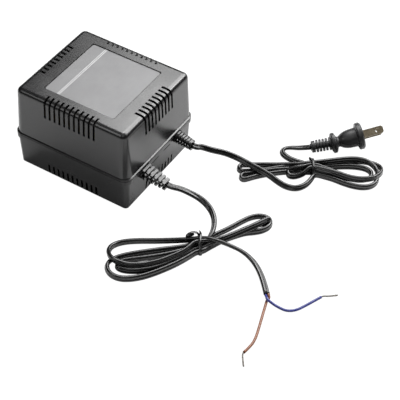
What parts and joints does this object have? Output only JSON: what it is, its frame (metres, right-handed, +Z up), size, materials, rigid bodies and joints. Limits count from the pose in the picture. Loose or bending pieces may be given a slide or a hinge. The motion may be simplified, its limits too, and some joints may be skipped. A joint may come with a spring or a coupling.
{
  "type": "electrical transformer",
  "caption": "Box-shaped mains transformer in a vented two-part plastic case, with a plug lead and a stripped low-voltage lead, both folded and tied.",
  "frame": {"origin": "middle of the case's underside, on the surface that it stands on", "axes": "+Z up, +Y along the case's long side away from the leads, so both leads leave the -Y face"},
  "size_m": [0.2672, 0.2892, 0.0775],
  "materials": {
    "case_black": "satin moulded black",
    "label_silver": "matt silver film, bare",
    "relief_black": "soft moulded black",
    "cord_black": "smooth black sheath",
    "tie_black": "plain",
    "plug_black": "satin moulded black",
    "blade_brass": "dull, tarnished",
    "wire_blue": "smooth",
    "wire_brown": "smooth",
    "tinned_copper": "tinned strands",
    "screw_steel": "zinc plated",
    "core_steel": "varnished laminations",
    "bracket_steel": "zinc plated sheet",
    "bobbin_nylon": "moulded",
    "coil_copper": "enamelled copper wire",
    "tape_yellow": "polyester tape",
    "fuse_steel": "plain",
    "lead_red": "smooth",
    "lead_yellow": "smooth",
    "splice_clear": "milky nylon"
  },
  "bodies": {
    "root": {"upper_case": "case_black", "lower_case": "case_black", "rating_label": "label_silver", "case_screws": "screw_steel", "core_e_stack": "core_steel", "core_i_stack": "core_steel", "core_bracket": "bracket_steel", "bracket_screws": "screw_steel", "bobbin": "bobbin_nylon", "primary_winding": "coil_copper", "secondary_winding": "coil_copper", "primary_tape": "tape_yellow", "secondary_tape": "tape_yellow", "thermal_fuse": "fuse_steel", "primary_leads": "lead_red", "secondary_leads": "lead_yellow", "mains_inner_wires": "wire_brown", "output_inner_wires": "wire_blue", "mains_splices": "splice_clear", "output_splices": "splice_clear", "mains_strain_relief": "relief_black", "output_strain_relief": "relief_black", "mains_cord_lead": "cord_black", "mains_cord_hank": "cord_black", "mains_cord_tail": "cord_black", "mains_tie": "tie_black", "plug_body": "plug_black", "plug_blades": "blade_brass", "output_cord_lead": "cord_black", "output_cord_hank": "cord_black", "output_cord_tail": "cord_black", "output_tie": "tie_black", "blue_wire": "wire_blue", "brown_wire": "wire_brown", "blue_wire_end": "tinned_copper", "brown_wire_end": "tinned_copper"}
  },
  "joints": []
}
